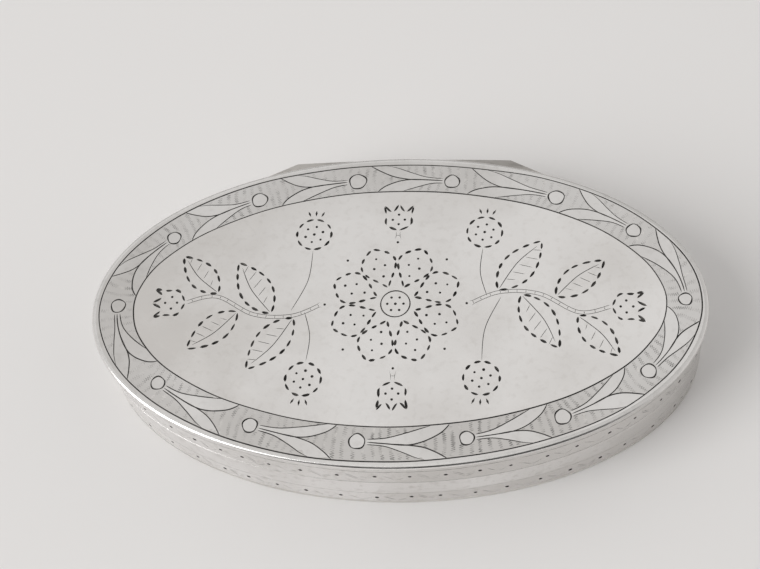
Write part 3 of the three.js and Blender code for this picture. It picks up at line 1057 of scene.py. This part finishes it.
# Rim wire: a D-shaped silver wire soldered round the lid's edge. It stands a little out over the skirt,
# takes the fingers when the lid is opened, and is rubbed bright.
RIM_INNER = -0.202 * MM
RIM_EDGE = 0.02 * MM
RIM_METAL = ((0.89, 0.875, 0.86), (0.62, 0.605, 0.59), 0.225)
RIM_MARKS = [((7, 7, 0.05), 0)]
# Painted shade on the right-hand end of the rim, for the darker side of the room that it mirrors
RIM_PAINTED_SHADE = [(0.8, ("X", 8, 30))]
nose = (rim_high.z - rim_low.z) / 2
nose_out = rim_high.x - half_length - nose
section = [(RIM_INNER, rim_low.z + RIM_EDGE), (RIM_INNER + RIM_EDGE, rim_low.z)]
for k in range(25):
    a = math.radians(-90 + 7.5 * k)
    section.append((nose_out + nose * math.cos(a), rim_low.z + nose + nose * math.sin(a)))
section.append((RIM_INNER, rim_high.z))
corners, faces = [], []
for a in turns(OVAL_STEPS):
    corners += [(*oval_point(a, out), z) for out, z in section]
for i in range(OVAL_STEPS):
    here, there = i * len(section), (i + 1) % OVAL_STEPS * len(section)
    for k in range(len(section)):
        after = (k + 1) % len(section)
        faces.append((here + k, there + k, there + after, here + after))
rim = new_piece("round_rim", corners, faces)
smooth(rim)
rim_metal = silver("rim_silver", *RIM_METAL, RIM_MARKS, uneven=0.4, stain_amount=0.25, tarnish_and_shade=RIM_PAINTED_SHADE)
rim.data.materials.append(rim_metal)
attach(rim, "lid")
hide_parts("lid_rim_wire")

# Table, light and camera: a plain pale table under a bright even room, a large soft lamp at the left
# front, and a camera that looks down at the box from the front, held a little askew.
TABLE_COLOUR = (0.785, 0.77, 0.76)
TABLE_ROUGHNESS = 0.7
CEILING_LEFT, CEILING_RIGHT = 0.646, 0.79
WALL_LEFT, WALL_RIGHT, WALL_BEHIND = 0.644, 0.92, 0.034
FRONT_DARK = 0.87  # how dark the room is in front of the box, which the rim mirrors
FRONT_AZIMUTH = -1.36
FRONT_SIDES = (0.52, 0.78)  # where that dark fades out to each side
FRONT_TOP = (0.82, 0.94)  # where it fades out upward
ROOM_TINT = (1.0, 0.99, 0.978, 1)
LAMP_PLACE = (-1.218, -0.648, 1.08)
LAMP_SIZE = (1.0, 1.4)
LAMP_WATTS = 17.7
VIEW_HEIGHT, VIEW_TURN, VIEW_ROLL = (math.radians(angle) for angle in (60.81, 12.31, 11.43))
VIEW_DISTANCE = 0.2177
AIM = Vector((-0.001338, 0.003502, 0.0125))
LENS, SENSOR = 79.21, 36.0
bpy.ops.mesh.primitive_plane_add(size=3.0, location=(0, 0, 0))
table = bpy.context.active_object
table.name = "pale_table"
paint, _, painted = new_material("table_paint")
painted.inputs["Base Color"].default_value = (*TABLE_COLOUR, 1)
painted.inputs["Roughness"].default_value = TABLE_ROUGHNESS
table.data.materials.append(paint)

room = bpy.data.worlds.new("bright_room")
scene.world = room
room.use_nodes = True
web = room.node_tree
where = web.nodes.new("ShaderNodeTexCoord")
axes = web.nodes.new("ShaderNodeSeparateXYZ")
web.links.new(where.outputs["Generated"], axes.inputs[0])
x, y, z = axes.outputs
ceiling = spread(web, x, -0.6, 0.4, CEILING_LEFT, CEILING_RIGHT)
left = spread(web, x, -0.8, 0.2, WALL_LEFT, 0.0)
right = spread(web, x, -0.2, 0.8, 0.0, WALL_RIGHT)
behind = spread(web, y, 0.0, 0.8, 0.0, WALL_BEHIND)
up = spread(web, z, 0.3, 0.75, 0.0, 1.0)
sides = join(web, "ADD", join(web, "ADD", left, right), behind)
walls = join(web, "MULTIPLY", sides, join(web, "SUBTRACT", 1.0, up))
light = join(web, "ADD", join(web, "MULTIPLY", ceiling, up), walls)
aside = join(web, "ABSOLUTE", join(web, "SUBTRACT", join(web, "ARCTAN2", y, x), FRONT_AZIMUTH), 0.0)
in_front = spread(web, aside, *FRONT_SIDES, 1.0, 0.0)
unlit = join(web, "MULTIPLY", in_front, spread(web, z, *FRONT_TOP, 1.0, 0.0))
lit = join(web, "SUBTRACT", 1.0, join(web, "MULTIPLY", unlit, FRONT_DARK))
air = web.nodes["Background"]
air.inputs["Color"].default_value = ROOM_TINT
web.links.new(join(web, "MULTIPLY", light, lit), air.inputs["Strength"])

lamp = bpy.data.lights.new("window_lamp", "AREA")
lamp.shape = "RECTANGLE"
lamp.size, lamp.size_y = LAMP_SIZE
lamp.energy = LAMP_WATTS
holder = bpy.data.objects.new("window_lamp", lamp)
holder.location = LAMP_PLACE
holder.rotation_euler = (-Vector(LAMP_PLACE)).to_track_quat("-Z", "Y").to_euler()
scene.collection.objects.link(holder)

turn = Matrix.Rotation(VIEW_TURN, 3, "Z")
tilt = Matrix.Rotation(math.pi / 2 - VIEW_HEIGHT, 3, "X")
facing = turn @ tilt @ Matrix.Rotation(-VIEW_ROLL, 3, "Z")
lens = bpy.data.cameras.new("camera")
lens.sensor_width = SENSOR
lens.lens = LENS
lens.clip_start = 0.01
camera = bpy.data.objects.new("camera", lens)
camera.matrix_world = Matrix.Translation(turn @ AIM + facing.col[2] * VIEW_DISTANCE) @ facing.to_4x4()
scene.collection.objects.link(camera)
scene.camera = camera
scene.view_settings.view_transform = "Standard"
